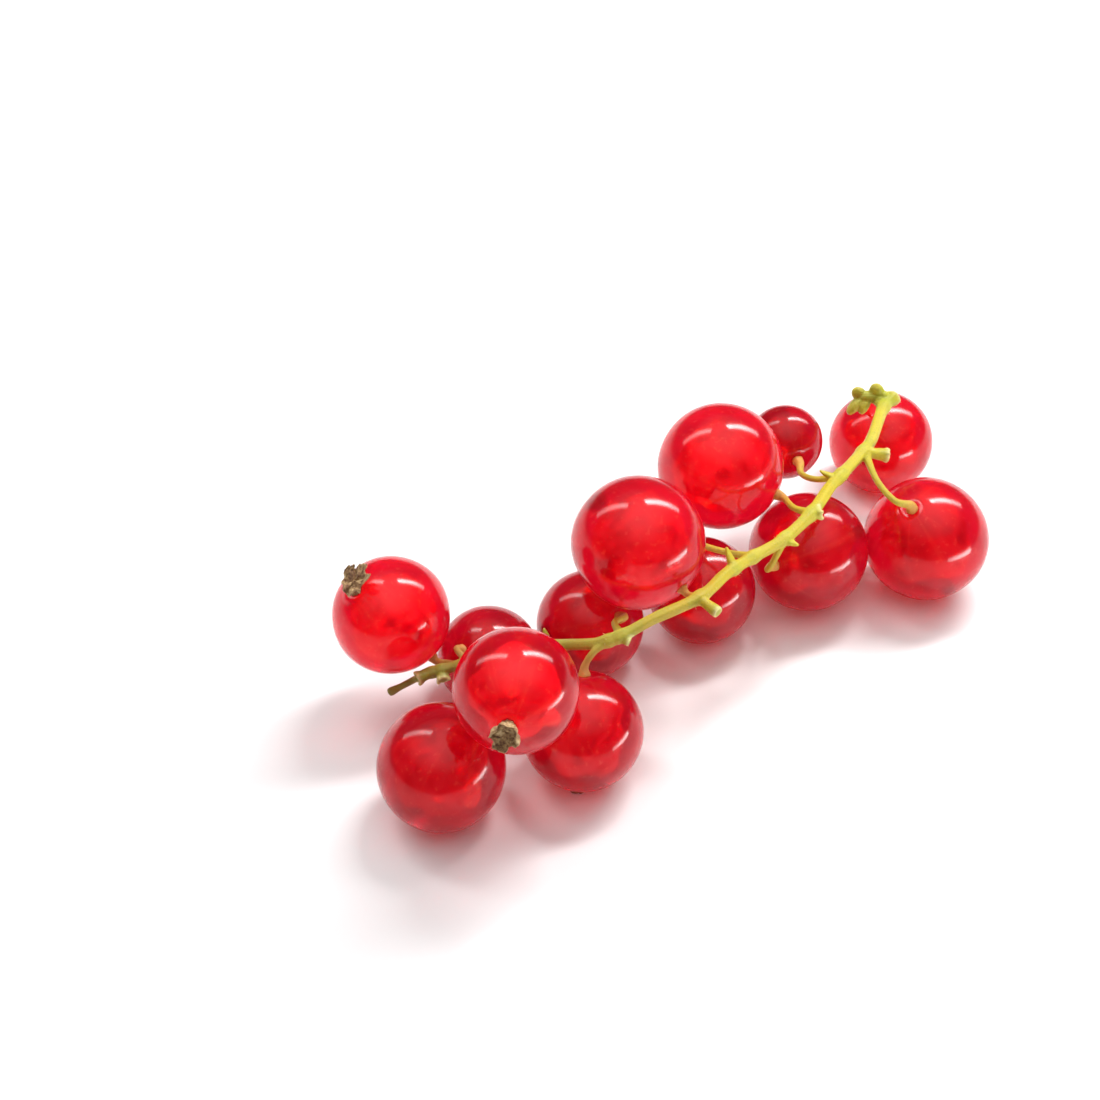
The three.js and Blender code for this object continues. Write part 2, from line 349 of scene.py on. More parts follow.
# %% [markdown]
# A berry's skin is one closed ball with many faces, so its highlights stay clean. It is not quite round:
# it has low swellings, a dimple where the stalk goes in and a ring of skin drawn up round the flower.
# The pole of the mesh is at the stalk. Each point keeps its spoke, which is its direction round the axis and
# how far it is from that pole, and the veins that run from end to end are drawn from it. It also keeps how
# ripe the berry is. A berry on the table is eased flat where it stands, so its foot has no hard edge.

# %% Berry skins
SKIN_RINGS = 72
SKIN_SIDES = 96
DIMPLE_DEPTH = 0.22 * MM
DIMPLE_WIDTH = 0.55 * MM
COLLAR_HEIGHT = 0.14 * MM
COLLAR_RADIUS = 0.85 * MM
COLLAR_WIDTH = 0.28 * MM
SWELLING = 0.008
FOOT_GAP = 0.01 * MM
FOOT_EASE = 0.12 * MM

globe_directions, globe_faces = globe(SKIN_RINGS, SKIN_SIDES)


def along_axis(directions, axis):
    """Globe directions turned so that their pole lies along an axis."""
    side = axis.orthogonal().normalized()
    return directions @ np.array([side, axis.cross(side), axis])


def skin_radius(berry, directions):
    """How far the skin is from the berry's centre in each direction."""
    r = berry["r"]
    radius = r * (1 + SWELLING * waves(directions, 1.6, 40 + berry["number"]))
    stalk_arc = r * np.arccos(np.clip(directions @ np.array(berry["stalk"]), -1, 1))
    radius = radius - DIMPLE_DEPTH * np.exp(-(stalk_arc / DIMPLE_WIDTH) ** 2)
    flower_arc = r * np.arccos(np.clip(directions @ np.array(berry["flower"]), -1, 1))
    return radius + COLLAR_HEIGHT * np.exp(-((flower_arc - COLLAR_RADIUS) / COLLAR_WIDTH) ** 2)


def soft_floor(heights):
    """Heights eased into a flat foot just above the table."""
    return FOOT_GAP + 0.5 * (heights + np.sqrt(heights ** 2 + FOOT_EASE ** 2))


from_stalk = np.arccos(np.clip(globe_directions[:, 2], -1, 1))
off_axis = np.maximum(np.sin(from_stalk), 0.05)[:, None]
spokes = np.column_stack([globe_directions[:, :2] / off_axis, from_stalk / math.pi])

skins = []
for berry in berries:
    directions = along_axis(globe_directions, berry["stalk"])
    points = np.array(berry["centre"]) + directions * skin_radius(berry, directions)[:, None]
    if berry["rests"]:
        points[:, 2] = soft_floor(points[:, 2])
    skin = mesh_object("skin_" + berry["name"], points, globe_faces)
    store_vectors(skin.data, "spoke", spokes)
    store(skin.data, "ripeness", np.full(len(points), berry["ripeness"]))
    skins.append(skin)
print(len(skins), "skins of", len(globe_faces), "faces")

# %% [markdown]
# Under the skin the flesh is a clear jelly. In its middle hangs a lumpy paler pulp that glows when light
# comes through the berry, with a handful of seeds in and round it. What repeats by a rule is made with
# Geometry Nodes, and two helpers make such a tree and put it on an object with its values.

# %% Geometry Nodes helpers


def tree_with(name, sockets):
    """A Geometry Nodes tree with a geometry in and out and the given number and vector inputs."""
    tree = bpy.data.node_groups.new(name, "GeometryNodeTree")
    tree.interface.new_socket("Geometry", in_out="INPUT", socket_type="NodeSocketGeometry")
    tree.interface.new_socket("Geometry", in_out="OUTPUT", socket_type="NodeSocketGeometry")
    for label, kind in sockets.items():
        tree.interface.new_socket(label, in_out="INPUT", socket_type=kind)
    return tree, tree.nodes.new("NodeGroupInput"), tree.nodes.new("NodeGroupOutput")


def with_inputs(holder, tree, values):
    """Adds the tree to an object and sets its inputs by their identifiers."""
    modifier = holder.modifiers.new(tree.name, "NODES")
    modifier.node_group = tree
    for item in tree.interface.items_tree:
        if item.item_type == "SOCKET" and item.in_out == "INPUT" and item.name in values:
            modifier[item.identifier] = values[item.name]


# %% [markdown]
# Seeds are straw-coloured to orange inside the berry. The pulp is orange-pink in its thin places and crimson
# in its thick ones, so its colour follows noise with lumps of 2 mm, and it is darker in a ripe berry. Both
# scatter light below their surface, which takes the hard edge off them. A little light of their own stands
# for the light that the jelly passes on.

# %% Seed and pulp materials
seed_sheet = Sheet("redcurrant_seed")
seed_speck = seed_sheet.noise(0.5 * MM, detail=2)
seed_colour = seed_sheet.mix(seed_speck, srgb("#ffc070"), srgb("#ff8a48"))
seed_sheet.set(
    base_color=seed_colour,
    emission_color=seed_colour,
    emission_strength=0.5,
    roughness=0.45,
    subsurface_weight=0.5,
    subsurface_radius=(1.0, 0.4, 0.2),
    subsurface_scale=0.6 * MM,
)

pulp_sheet = Sheet("redcurrant_pulp")
pulp_lump = pulp_sheet.noise(2.0 * MM, detail=2.5, roughness=0.55, distortion=0.6)
pulp_patches = pulp_sheet.ramp(
    pulp_lump,
    (0.33, srgb("#cc1a22")), (0.43, srgb("#f83628")), (0.52, srgb("#ff9a6a")), (0.6, srgb("#fa5038")),
    (0.7, srgb("#d82024")),
)
pulp_colour = pulp_sheet.mix(pulp_sheet.attribute("ripeness"), pulp_patches, srgb("#8c1018"))
pulp_sheet.set(
    base_color=pulp_colour,
    emission_color=pulp_colour,
    emission_strength=0.6,
    roughness=0.6,
    subsurface_weight=0.6,
    subsurface_radius=(1.0, 0.3, 0.15),
    subsurface_scale=0.8 * MM,
)
print("materials:", seed_sheet.material.name, "and", pulp_sheet.material.name)

# %% [markdown]
# The tree has two branches that are joined at the end. Points are thrown at random into a box round the
# berry's centre, and each gets a stretched ball for a seed. A ball of its own size becomes the pulp: every
# point of it moves in or out by noise. A branch could be drawn by hand for one berry, but thirteen berries
# that all differ ask for a rule.

# %% Seeds and pulp by Geometry Nodes
PULP_LUMP = 2.2 * MM
PULP_SHARE = 0.58
SEED_SPREAD = 0.34
SEED_LENGTH = 0.5
SEED_SHAPE = (0.62, 0.5, 1.0)
SEED_COUNT = 6
SMALL_RADIUS = 4 * MM
SMALL_SEED_COUNT = 3
SEED_OF_SEEDS = 11

seed_tree, seed_in, seed_out = tree_with("seeds_in_a_berry", {
    "Centre": "NodeSocketVector",
    "Pulp": "NodeSocketFloat",
    "Spread": "NodeSocketFloat",
    "Length": "NodeSocketFloat",
    "Count": "NodeSocketInt",
    "Seed": "NodeSocketInt",
})
seed_offset = add_node(seed_tree, "FunctionNodeRandomValue", {"data_type": "FLOAT_VECTOR"}, {
    0: (-1, -1, -1), 1: (1, 1, 1), 8: seed_in.outputs["Seed"],
})
seed_away = add_node(seed_tree, "ShaderNodeVectorMath", {"operation": "SCALE"}, {
    0: seed_offset.outputs[0], "Scale": seed_in.outputs["Spread"],
})
seed_place = add_node(seed_tree, "ShaderNodeVectorMath", {"operation": "ADD"}, {
    0: seed_away.outputs[0], 1: seed_in.outputs["Centre"],
})
seed_points = add_node(seed_tree, "GeometryNodePoints", None, {
    "Count": seed_in.outputs["Count"], "Position": seed_place.outputs[0],
})
seed_ball = add_node(seed_tree, "GeometryNodeMeshIcoSphere", None, {"Radius": 0.5, "Subdivisions": 3})
seed_turn = add_node(seed_tree, "FunctionNodeRandomValue", {"data_type": "FLOAT_VECTOR"}, {
    0: (0, 0, 0), 1: (6.28, 6.28, 6.28), 8: seed_in.outputs["Seed"],
})
seed_size = add_node(seed_tree, "ShaderNodeVectorMath", {"operation": "SCALE"}, {
    0: SEED_SHAPE, "Scale": seed_in.outputs["Length"],
})
seed_copies = add_node(seed_tree, "GeometryNodeInstanceOnPoints", None, {
    "Points": seed_points.outputs[0],
    "Instance": seed_ball.outputs["Mesh"],
    "Rotation": seed_turn.outputs[0],
    "Scale": seed_size.outputs[0],
})
seed_real = add_node(seed_tree, "GeometryNodeRealizeInstances", None, {0: seed_copies.outputs[0]})
seed_smooth = add_node(seed_tree, "GeometryNodeSetShadeSmooth", None, {0: seed_real.outputs[0]})
seed_finish = add_node(seed_tree, "GeometryNodeSetMaterial", None, {
    "Geometry": seed_smooth.outputs[0], "Material": seed_sheet.material,
})
pulp_ball = add_node(seed_tree, "GeometryNodeMeshIcoSphere", None, {
    "Radius": seed_in.outputs["Pulp"], "Subdivisions": 5,
})
pulp_spot = add_node(seed_tree, "GeometryNodeInputPosition")
pulp_scaled = add_node(seed_tree, "ShaderNodeVectorMath", {"operation": "SCALE"}, {
    0: pulp_spot.outputs[0], "Scale": 1 / PULP_LUMP,
})
pulp_noise = add_node(seed_tree, "ShaderNodeTexNoise", {"noise_dimensions": "4D"}, {
    "Vector": pulp_scaled.outputs[0], "W": seed_in.outputs["Seed"], "Scale": 1.0, "Detail": 1.0,
})
pulp_swing = add_node(seed_tree, "ShaderNodeMath", {"operation": "MULTIPLY_ADD"}, {
    0: pulp_noise.outputs["Fac"], 1: 0.9, 2: 0.55,
})
pulp_grown = add_node(seed_tree, "ShaderNodeVectorMath", {"operation": "SCALE"}, {
    0: pulp_spot.outputs[0], "Scale": pulp_swing.outputs[0],
})
pulp_moved = add_node(seed_tree, "ShaderNodeVectorMath", {"operation": "ADD"}, {
    0: pulp_grown.outputs[0], 1: seed_in.outputs["Centre"],
})
pulp_placed = add_node(seed_tree, "GeometryNodeSetPosition", None, {
    "Geometry": pulp_ball.outputs["Mesh"], "Position": pulp_moved.outputs[0],
})
pulp_smooth = add_node(seed_tree, "GeometryNodeSetShadeSmooth", None, {0: pulp_placed.outputs[0]})
pulp_finish = add_node(seed_tree, "GeometryNodeSetMaterial", None, {
    "Geometry": pulp_smooth.outputs[0], "Material": pulp_sheet.material,
})
seed_all = add_node(seed_tree, "GeometryNodeJoinGeometry")
seed_tree.links.new(seed_finish.outputs[0], seed_all.inputs[0])
seed_tree.links.new(pulp_finish.outputs[0], seed_all.inputs[0])
seed_tree.links.new(seed_all.outputs[0], seed_out.inputs[0])

seeds = []
for berry in berries:
    holder = mesh_object("seeds_holder", [(0, 0, 0)], [])
    with_inputs(holder, seed_tree, {
        "Centre": tuple(berry["centre"]),
        "Pulp": PULP_SHARE * berry["r"],
        "Spread": SEED_SPREAD * berry["r"],
        "Length": SEED_LENGTH * berry["r"],
        "Count": SEED_COUNT if berry["r"] > SMALL_RADIUS else SMALL_SEED_COUNT,
        "Seed": SEED_OF_SEEDS + berry["number"],
    })
    inside = baked(holder, "seeds_" + berry["name"])
    store(inside.data, "ripeness", np.full(len(inside.data.vertices), berry["ripeness"]))
    seeds.append(inside)
print(sum(len(piece.data.polygons) for piece in seeds), "faces of seeds and pulp")

# %% [markdown]
# The dried flower is a short brown cup whose five sepals have shrivelled into a tuft. It is one closed
# sheet: up the outside, over a torn rim and down into the cup. The rim's height follows the five sepals, and
# each sepal curls and leans its own way. Two sets of waves then crumple it, a wide one for the folds and a
# fine one for the puckers. Under a low berry the tuft is squashed between skin and table. A few flowers have
# a lean, a size or a curl of their own, kept by the berry's number.

# %% Dried flowers
FLOWER_SIDES = 90
FLOWER_PROFILE = [
    # how far up (0 base, 1 sepal tip), radius in mm, outside or inside of the wall
    (-0.12, 0.55, 0), (-0.04, 0.57, 0), (0.03, 0.55, 0), (0.1, 0.50, 0), (0.17, 0.48, 0), (0.24, 0.49, 0),
    (0.31, 0.53, 0), (0.38, 0.60, 0), (0.45, 0.69, 0), (0.52, 0.79, 0), (0.59, 0.89, 0), (0.66, 0.98, 0),
    (0.73, 1.06, 0), (0.8, 1.12, 0), (0.87, 1.15, 0), (0.94, 1.15, 0), (1.0, 1.10, 0.5), (0.95, 1.04, 1),
    (0.88, 1.03, 1), (0.81, 1.00, 1), (0.74, 0.95, 1), (0.67, 0.88, 1), (0.6, 0.80, 1), (0.53, 0.70, 1),
    (0.46, 0.58, 1), (0.4, 0.42, 1), (0.36, 0.22, 1),
]
FLOWER_LENGTH = 1.9
FLOWER_LEAN = {4: (150, -40), 13: (-35, 66)}
FLOWER_CURLS = {10: (-0.3, 0.0), 13: (0.15, 0.5)}
FLOWER_SHARES = {4: 0.6, 10: 0.9, 13: 0.9}
FLOWER_ROUNDNESS = {10: 0.88}
PLAIN_CURLS = (-0.55, 0.25)
PLAIN_ROUNDNESS = 0.3
CUP_TOP = 0.42
CUP_FILL = 0.6
WELL_HEIGHT = 1.15
ROOT_HEIGHT = -0.2
SEPAL_COUNT = 5
FOLD_SIZE = 1.1
FOLD_DEPTH = 0.17
PUCKER_SIZE = 0.38
PUCKER_OUTSIDE = 0.055
PUCKER_INSIDE = 0.145
PRESSED_SHARE = 0.6
LEAN_SHARE = 0.55
SKIN_GAP = 0.03 * MM
FLOOR_GAP = 0.03 * MM
FLOOR_SLOPE = 0.05 * MM
LEAST_FLOOR_GAP = 0.02 * MM


def cup_faces():
    """Faces between the rings of a flower, closed at the well of the cup and at the root."""
    rows = len(FLOWER_PROFILE)
    well, root = rows * FLOWER_SIDES, rows * FLOWER_SIDES + 1
    faces = []
    for i in range(rows - 1):
        for j in range(FLOWER_SIDES):
            k = (j + 1) % FLOWER_SIDES
            a, b = i * FLOWER_SIDES, (i + 1) * FLOWER_SIDES
            faces.append((a + j, a + k, b + k, b + j))
    for j in range(FLOWER_SIDES):
        k = (j + 1) % FLOWER_SIDES
        faces.append(((rows - 1) * FLOWER_SIDES + j, (rows - 1) * FLOWER_SIDES + k, well))
        faces.append((k, j, root))
    return faces


def cup_points(number):
    """Points of one open flower in mm, standing on its root, before it crumples."""
    seeded = np.random.default_rng(300 + number)
    heights = seeded.uniform(0.75, 1.1, SEPAL_COUNT)
    curls = seeded.uniform(*FLOWER_CURLS.get(number, PLAIN_CURLS), SEPAL_COUNT)
    leans = seeded.uniform(-0.35, 0.35, SEPAL_COUNT)
    start = seeded.uniform(0, 2 * math.pi)
    even = FLOWER_ROUNDNESS.get(number, PLAIN_ROUNDNESS)
    points = []
    for up, radius, inner in FLOWER_PROFILE:
        for j in range(FLOWER_SIDES):
            turn = 2 * math.pi * j / FLOWER_SIDES
            sector = turn / (2 * math.pi) * SEPAL_COUNT
            which = int(sector + 0.5) % SEPAL_COUNT
            off = sector - round(sector)
            lobe = math.cos(off * math.pi) ** 0.8
            rise = max(0.0, up - CUP_TOP) / (1 - CUP_TOP)
            reach = CUP_TOP + (1 - CUP_TOP) * (even + (1 - even) * lobe * heights[which])
            z = FLOWER_LENGTH * (up if up <= CUP_TOP else CUP_TOP + rise * (reach - CUP_TOP))
            z += inner * CUP_FILL * (0.9 * FLOWER_LENGTH * reach - z)
            out = radius + rise ** 1.5 * curls[which] * lobe
            out *= 1 + 0.07 * math.sin(3 * SEPAL_COUNT * turn / 2 + which) * (1 - inner)
            angle = turn + start + rise * leans[which] * lobe
            points.append((out * math.cos(angle), out * math.sin(angle), z))
    points.append((0, 0, WELL_HEIGHT))
    points.append((0, 0, ROOT_HEIGHT))
    return np.array(points)


def crumpled(points, number):
    """The same points shaken by folds and puckers, more the nearer they are to the sepals' tips."""
    crumple = np.clip(points[:, 2:3] / FLOWER_LENGTH, 0, 1)
    folds = np.stack([waves(points, FOLD_SIZE, 500 + 3 * number + k) for k in range(3)], 1)
    puckers = np.stack([waves(points, PUCKER_SIZE, 700 + 3 * number + k) for k in range(3)], 1)
    inner_share = np.append(np.repeat([row[2] for row in FLOWER_PROFILE], FLOWER_SIDES), [1, 0])
    pucker_depth = PUCKER_OUTSIDE + (PUCKER_INSIDE - PUCKER_OUTSIDE) * inner_share[:, None]
    return points + (FOLD_DEPTH * folds + pucker_depth * puckers) * crumple


def placed_flower(berry):
    """Points of a berry's flower where it stands, clear of its skin and of the table."""
    number = berry["number"]
    points = crumpled(cup_points(number), number) * FLOWER_SHARES.get(number, 1.0)
    if berry["rests"]:
        points *= PRESSED_SHARE
    axis = berry["flower"]
    base = np.array(berry["centre"] + axis * (berry["r"] + 0.02 * MM))
    placed = base + along_axis(points, axis) * MM
    if number in FLOWER_LEAN:
        lean = np.array(facing(FLOWER_LEAN[number])) - np.array(axis)
        placed += LEAN_SHARE * lean * np.clip(points[:, 2:3], 0, None) ** 1.3 * MM
    outward = placed - np.array(berry["centre"])
    away = np.linalg.norm(outward, axis=1)
    least = berry["r"] + SKIN_GAP
    short = (points[:, 2] > 0.05) & (away < least)
    placed[short] += unit(outward[short]) * (least - away[short])[:, None]
    floor_gap = FLOOR_GAP + FLOOR_SLOPE * points[:, 2] / FLOWER_LENGTH
    placed[:, 2] = np.maximum(placed[:, 2], floor_gap.clip(LEAST_FLOOR_GAP))
    return placed


flower_faces = cup_faces()
flowers = [mesh_object("flower_" + berry["name"], placed_flower(berry), flower_faces) for berry in berries]
print(len(flowers), "dried flowers of", len(flower_faces), "faces")

# %% [markdown]
# The stem, its stalks, the stubs of lost stalks and the small scales are one growth. Their lines come first:
# a few listed points, joined by a smooth curve. Each stalk leaves the stem at its joint, so many mm along from
# the cut end, passes its bends and runs into its berry's dimple. The points are written for a sprig whose top
# berry stands at TOP_BERRY, and SPRIG_MIDDLE moves them into the frame.

# %% Lines of the stem and stalks
STEM_STEP = 0.12
STALK_STEP = 0.1
STALK_APPROACH = 0.7
STALK_GAP = 0.03
TOP_BERRY = np.array([-6.4, -2.1])
SPRIG_MIDDLE = np.append(TOP_BERRY - np.array(berries[6]["centre"][:2]) / MM, 0.0)
STEM_LINE = [
    (24.3, 3.2, 11.6), (22.7, 2.6, 11.6), (18.2, -0.6, 11.5), (15.2, -1.9, 11.5), (11.7, -3.3, 11.5),
    (7.9, -5.2, 11.5), (4.3, -6.1, 11.1), (1.5, -6.3, 11.0), (-1.7, -7.1, 11.4), (-5.4, -8.5, 11.8),
    (-9.3, -8.1, 11.3), (-11.9, -7.6, 10.5), (-13.3, -6.9, 10.0), (-15.6, -4.6, 9.1), (-18.2, -2.6, 7.8),
    (-21.0, -0.3, 6.5), (-23.4, 1.2, 5.6),
]
STALK_JOINTS = [1.8, 8.4, 12.4, 18.3, 21.9, 25.2, 32.3, 39.0, 40.0, 44.6, 47.5, 51.0, 51.4]
STALK_BENDS = [
    [(23.2, 5.0, 11.1)],
    [(15.8, -4.5, 10.9), (15.6, -6.8, 10.6)],
    [(12.3, -1.2, 10.6), (12.3, 0.8, 9.9)],
    [(8.0, -3.4, 10.9)],
    [(4.3, -5.6, 8.8), (4.5, -4.8, 7.2)],
    [(1.0, -3.9, 9.9), (0.3, -2.0, 9.5)],
    [],
    [(-10.6, -5.2, 9.3)],
    [(-14.0, -7.3, 9.7)],
    [(-17.8, -4.4, 10.6)],
    [(-20.5, -5.2, 9.2)],
    [],
    [(-21.4, 0.9, 5.9)],
]


def between(first, second, start, end, at):
    """The point that goes with `at`, when one point goes with start and another with end."""
    return (end - at) / (end - start) * first + (at - start) / (end - start) * second


def smooth_line(points, spacing):
    """A centripetal curve through points, cut into steps of about equal length."""
    ends = [2 * points[0] - points[1], *points, 2 * points[-1] - points[-2]]
    fine = []
    for i in range(1, len(ends) - 2):
        p = ends[i - 1:i + 3]
        t = [0.0]
        for a, b in zip(p, p[1:]):
            t.append(t[-1] + max(np.linalg.norm(b - a), 1e-6) ** 0.5)
        for s in np.linspace(t[1], t[2], 40, endpoint=False):
            a = [between(p[j], p[j + 1], t[j], t[j + 1], s) for j in range(3)]
            b = [between(a[j], a[j + 1], t[j], t[j + 2], s) for j in range(2)]
            fine.append(between(b[0], b[1], t[1], t[2], s))
    fine.append(points[-1])
    fine = np.array(fine)
    lengths = np.concatenate([[0], np.cumsum(np.linalg.norm(np.diff(fine, axis=0), axis=1))])
    steps = max(4, round(lengths[-1] / spacing))
    wanted = np.linspace(0, lengths[-1], steps + 1)
    return np.stack([np.interp(wanted, lengths, fine[:, k]) for k in range(3)], 1), wanted


def mm_points(points):
    return [np.array(p, float) - SPRIG_MIDDLE for p in points]


def side_line(start, steps):
    """A short curve from a place on the stem, through steps measured from that place."""
    return smooth_line([start + np.array(step) for step in steps], STEM_STEP)[0]


stem_points, stem_lengths = smooth_line(mm_points(STEM_LINE), STEM_STEP)


def on_stem(joint):
    return np.array([np.interp(joint, stem_lengths, stem_points[:, k]) for k in range(3)])


stalk_lines = []
for berry, joint, bends in zip(berries, STALK_JOINTS, STALK_BENDS):
    axis = np.array(berry["stalk"])
    end = np.array(berry["centre"]) / MM + axis * (berry["r"] - DIMPLE_DEPTH) / MM
    way = [on_stem(joint), *mm_points(bends), end + STALK_APPROACH * axis, end + STALK_GAP * axis]
    stalk_lines.append(smooth_line(way, STALK_STEP))
print("the stem is", round(float(stem_lengths[-1]), 1), "mm long")
print("the stalks are", [round(float(lengths[-1]), 1) for _, lengths in stalk_lines], "mm long")

# %% [markdown]
# Where a berry has fallen off, its stalk leaves a stub, some with torn teeth round the end. Small scales,
# the remains of leaves, sit at some joints. Close to the cut end a broken stalk carries a tuft of five
# scales, and beyond the last joint the stem runs out into a bare tip. Each is one row: its place along the
# stem in mm, the way it faces as heading and rise, and its sizes in mm.

# %% Stubs, scales and ends
STUBS = [
    # joint, the way it faces, length, radius, how many torn teeth stand round its end
    (8.6, (-35, -8), 2.05, 0.54, 9), (18.6, (-20, 5), 0.95, 0.48, 5), (32.5, (-80, -5), 1.95, 0.46, 0),
    (39.2, (-60, -10), 0.9, 0.36, 0), (53.9, (172, -8), 1.2, 0.5, 4), (53.2, (-110, -20), 0.9, 0.48, 3),
]
STUB_SHAPE = [0.98, 0.86, 0.82, 0.9, 1.0, 0.96]
TOOTH_SHAPE = [1.0, 0.95, 0.7]
TOOTH_LENGTH = 0.36
TOOTH_RADIUS = 0.19
TOOTH_SINK = 0.25
TOOTH_PLACE = 0.72
TOOTH_LEAN = 0.45
SCALES = [
    # joint, the way it faces, length
    (13.0, (148, 16), 1.7), (21.9, (-60, -20), 1.2), (27.5, (95, 45), 1.7), (44.5, (100, 60), 1.5),
    (50.7, (80, 60), 1.2),
]
SCALE_SHAPE = [1.0, 0.95, 0.85, 0.62, 0.28]
SCALE_RADIUS = 0.5
SCALE_FLATNESS = 0.62
BROKEN_JOINT = 0.9
BROKEN_WAY = [(0, 0, 0), (-0.5, 1.0, 0.1), (-1.3, 1.9, -0.1)]
BROKEN_SCALES = [
    # share along the broken stalk, the way it faces, length, radius, upward curl, thickness as a share
    (0.42, (84, 60), 1.25, 0.42, 0.1, 1.55), (0.9, (130, 22), 1.1, 0.4, 0.35, 1.5),
    (0.95, (178, -33), 1.8, 0.56, -0.15, 0.8), (0.75, (-158, -34), 1.5, 0.48, -0.2, 0.8),
    (0.2, (38, 55), 0.8, 0.4, 0.0, 1.0),
]
BROKEN_SCALE_SHAPE = [0.7, 0.85, 1.0, 1.0, 0.86, 0.5]
BARE_WAY = [(0, 0, 0), (-1.0, 0.4, -0.6), (-2.6, 0.9, -1.3)]

stem_joints = STALK_JOINTS + [row[0] for row in STUBS + SCALES]
broken_line = side_line(on_stem(BROKEN_JOINT), BROKEN_WAY)
bare_line = side_line(stem_points[-1], BARE_WAY)
print(len(STUBS), "stubs,", len(SCALES), "scales at joints and", len(BROKEN_SCALES), "on the broken stalk")

# %% [markdown]
# A stem is a bundle of fibres: it has shallow ridges along it, swells a little at every joint and flares
# where it was torn off. A stalk is thinnest in its middle and widens into the berry. Each is swept as a
# closed tube, a ring of points that follows the line and changes its radius on the way, because the radius
# is then known at every step. Stubs, teeth and scales are short tubes with an outline of their own.

# %% Sweep the tubes
STEM_RADIUS_CUT = 0.50
STEM_RADIUS_TIP = 0.39
CUT_FLARE = 0.22
CUT_FLARE_LENGTH = 1.1
JOINT_SWELLING = 0.12
JOINT_SPREAD = 0.5
STALK_SHARES = [0, 0.12, 0.3, 0.7, 0.86, 0.95, 1.0]
STALK_RADII = [0.42, 0.33, 0.26, 0.26, 0.33, 0.45, 0.50]


class Shells:
    """Closed tubes gathered into one mesh, in millimetres."""

    def __init__(self):
        self.points = []
        self.faces = []

    def tube(self, line, radii, sides=14, ridges=0.0, seed=0, flat_end=False, flat=1.0):
        """A closed tube along a line, with its own radius at each point."""
        tangents = unit(np.gradient(line, axis=0))
        side = np.cross(tangents[0], (0.3, 0.2, 1.0))
        side /= np.linalg.norm(side)
        start = len(self.points)
        turns = np.linspace(0, 2 * math.pi, sides, endpoint=False)
        wobble = np.random.default_rng(seed).uniform(0, 2 * math.pi)
        for i, (place, tangent) in enumerate(zip(line, tangents)):
            side = side - tangent * (side @ tangent)
            side /= np.linalg.norm(side)
            across = np.cross(tangent, side)
            ring = radii[i] * (1 + ridges * np.cos(5 * turns + wobble + 0.05 * i))
            for out, turn in zip(ring, turns):
                outward = math.cos(turn) * side + math.sin(turn) * across * flat
                self.points.append(place + out * outward)
        rows = len(line)
        for i in range(rows - 1):
            for j in range(sides):
                k = (j + 1) % sides
                a, b = start + i * sides, start + (i + 1) * sides
                self.faces.append((a + j, a + k, b + k, b + j))
        bulge = 0.0 if flat_end else 0.35
        self.points.append(line[0] - tangents[0] * radii[0] * bulge)
        self.points.append(line[-1] + tangents[-1] * radii[-1] * bulge)
        first, last = len(self.points) - 2, len(self.points) - 1
        for j in range(sides):
            k = (j + 1) % sides
            self.faces.append((start + k, start + j, first))
            self.faces.append((start + (rows - 1) * sides + j, start + (rows - 1) * sides + k, last))

    def bud(self, place, direction, length, radius, shape, sides=14, curl=0.0, blunt=False, flat=1.0):
        """A short tube from a place: shape gives its radius from foot to tip as shares."""
        direction = np.array(direction)
        lift = np.array((0, 0, 1.0)) - direction * direction[2]
        steps = np.linspace(0, 1, 10)
        line = np.array([place + direction * length * t + lift * curl * length * t * t for t in steps])
        radii = np.interp(steps, np.linspace(0, 1, len(shape)), shape) * radius
        self.tube(line, radii, sides, flat_end=blunt, flat=flat)


def radii_along(line, shares, radii):
    """A radius for each step of a line, from radii at shares of the way."""
    return np.interp(np.linspace(0, 1, len(line)), shares, radii)


shells = Shells()
share = stem_lengths / stem_lengths[-1]
stem_radii = STEM_RADIUS_CUT + (STEM_RADIUS_TIP - STEM_RADIUS_CUT) * share
stem_radii += CUT_FLARE * np.clip(1 - stem_lengths / CUT_FLARE_LENGTH, 0, 1) ** 1.5
near_joint = np.min(np.abs(stem_lengths[:, None] - np.array(stem_joints)[None]), axis=1)
stem_radii += JOINT_SWELLING * np.exp(-(near_joint / JOINT_SPREAD) ** 2)
stem_radii *= 1 + 0.03 * waves(stem_points, 3.0, 5)
shells.tube(stem_points, stem_radii, sides=26, ridges=0.055, seed=1, flat_end=True)
for (line, lengths), berry in zip(stalk_lines, berries):
    radii = np.interp(lengths / lengths[-1], STALK_SHARES, STALK_RADII)
    shells.tube(line, radii, sides=16, ridges=0.05, seed=berry["number"])
for joint, heading_rise, length, radius, teeth in STUBS:
    direction = facing(heading_rise)
    start = on_stem(joint)
    shells.bud(start, direction, length, radius, STUB_SHAPE, blunt=True)
    side = direction.orthogonal().normalized()
    across = direction.cross(side)
    for tooth in range(teeth):
        turn = 2 * math.pi * (tooth + 0.3 * math.sin(7.0 * tooth)) / teeth
        out = np.array(side * math.cos(turn) + across * math.sin(turn))
        place = start + np.array(direction) * (length - TOOTH_SINK) + out * radius * TOOTH_PLACE
        leaning = unit(np.array(direction) + TOOTH_LEAN * out)
        shells.bud(place, leaning, TOOTH_LENGTH, TOOTH_RADIUS, TOOTH_SHAPE)
for joint, heading_rise, length in SCALES:
    direction = facing(heading_rise)
    shells.bud(on_stem(joint), direction, length, SCALE_RADIUS, SCALE_SHAPE, curl=0.2, flat=SCALE_FLATNESS)
shells.tube(broken_line, radii_along(broken_line, [0, 0.4, 0.8, 1], [0.5, 0.44, 0.6, 0.5]))
